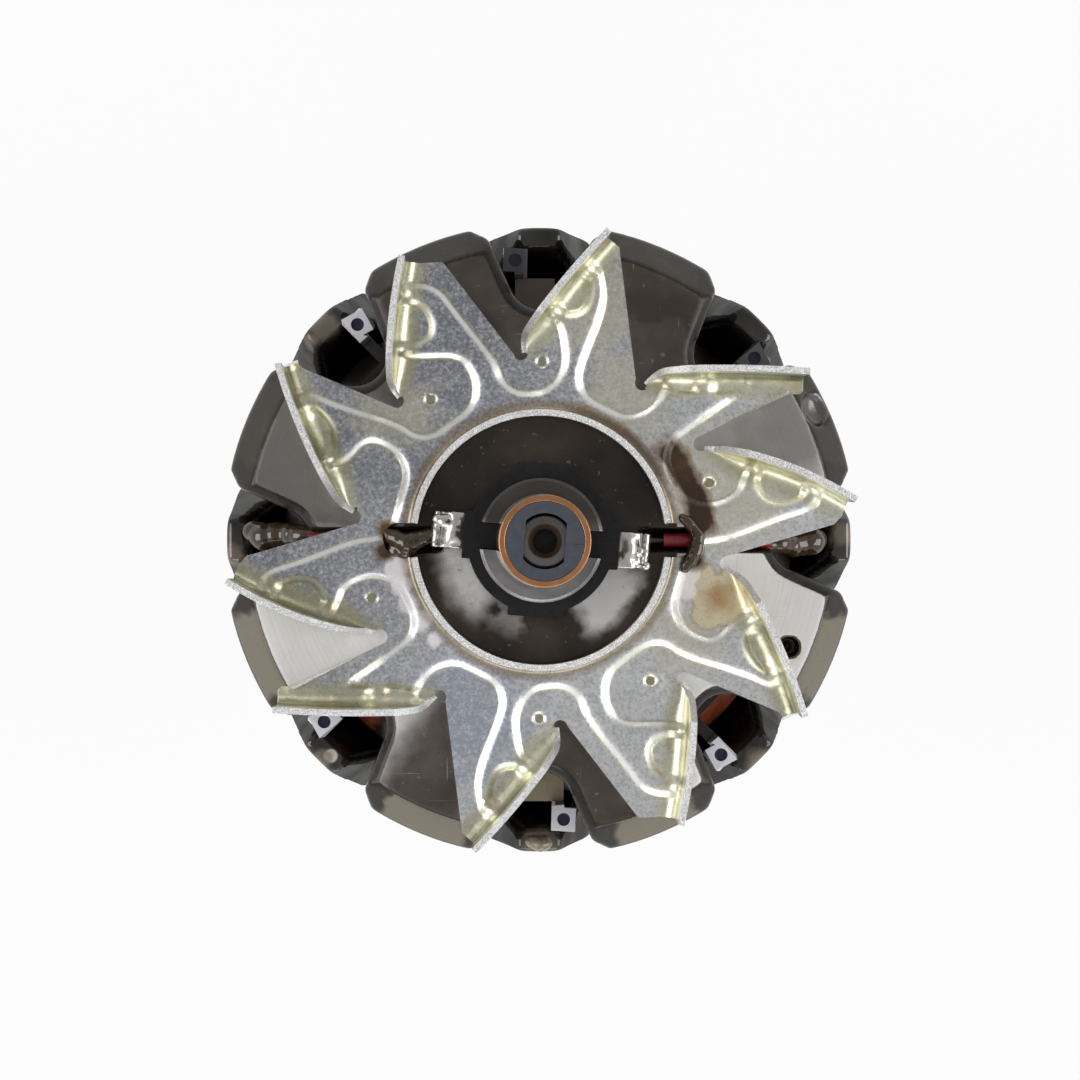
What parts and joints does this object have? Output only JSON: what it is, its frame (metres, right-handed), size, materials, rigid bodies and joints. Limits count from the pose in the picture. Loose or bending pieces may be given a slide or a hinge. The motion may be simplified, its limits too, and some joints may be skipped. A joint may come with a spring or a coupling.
{
  "type": "alternator rotor",
  "caption": "Claw-pole alternator rotor with a stamped fan on each end, a wound field coil between the poles and slip rings on the shaft end.",
  "frame": {"origin": "on the shaft axis at the end face of the drive end, where the rotor stands", "axes": "+Z along the shaft towards the slip rings; +X through the right-hand lead notch of the rear fan"},
  "size_m": [0.106, 0.106, 0.17],
  "materials": {
    "turned_steel": "turned steel with fine lines",
    "varnished_steel": "forged steel under glossy black varnish",
    "pole_steel": "forged steel with machined faces and brown varnish",
    "bobbin_nylon": "natural nylon stained by varnish",
    "winding_copper": "enamelled copper wire under varnish",
    "zinc_sheet": "zinc-plated pressed sheet with a yellow tinge in the bends",
    "black_moulding": "black thermoset moulding",
    "ring_copper": "turned copper",
    "tinned_metal": "tinned, with solder",
    "red_sleeve": "red insulating sleeve"
  },
  "bodies": {
    "root": {"shaft": "turned_steel", "drive_end_spacer": "turned_steel", "front_claw_pole": "varnished_steel", "rear_claw_pole": "pole_steel", "pole_core": "varnished_steel", "bobbin": "bobbin_nylon", "field_coil": "winding_copper", "front_fan": "zinc_sheet", "rear_fan": "zinc_sheet", "slip_ring_moulding": "black_moulding", "outer_slip_ring": "ring_copper", "inner_slip_ring": "ring_copper", "left_terminal": "tinned_metal", "right_terminal": "tinned_metal", "left_lead": "winding_copper", "right_lead": "winding_copper", "left_lead_sleeve": "red_sleeve", "right_lead_sleeve": "red_sleeve"}
  },
  "joints": []
}
